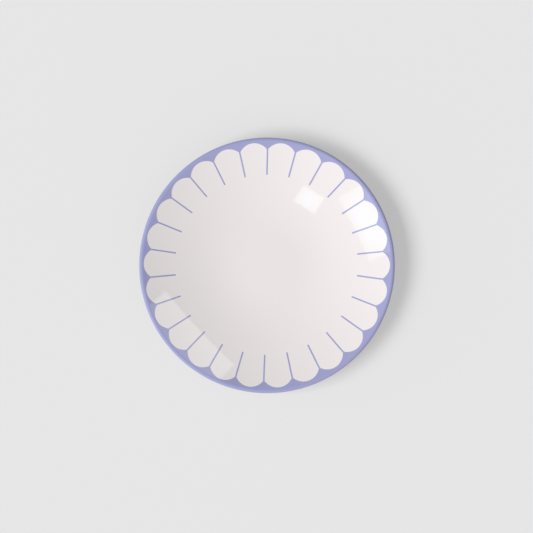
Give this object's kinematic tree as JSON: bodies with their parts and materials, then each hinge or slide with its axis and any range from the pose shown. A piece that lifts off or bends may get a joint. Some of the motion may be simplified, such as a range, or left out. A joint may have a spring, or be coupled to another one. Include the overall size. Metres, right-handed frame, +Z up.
{
  "type": "dessert plate",
  "caption": "Round coupe dessert plate with a shallow dished face, a rounded rim and a foot ring, painted with a scallop border and short divider lines.",
  "frame": {"origin": "centre of the foot ring's resting face, on the plate's axis and on the table", "axes": "+Z up along the plate's axis, out of the eating face; +Y towards the top of the picture, +X to its right"},
  "size_m": [0.2, 0.2, 0.0206],
  "materials": {
    "bare_clay": "matt fired clay, ground smooth",
    "white_glaze": "gloss, warm white",
    "lavender_glaze": "gloss, lavender"
  },
  "bodies": {
    "root": {"body": "bare_clay", "face_glaze": "white_glaze", "wall_glaze": "white_glaze", "base_glaze": "white_glaze", "scallop_border": "lavender_glaze", "divider_lines": "lavender_glaze"}
  },
  "joints": []
}
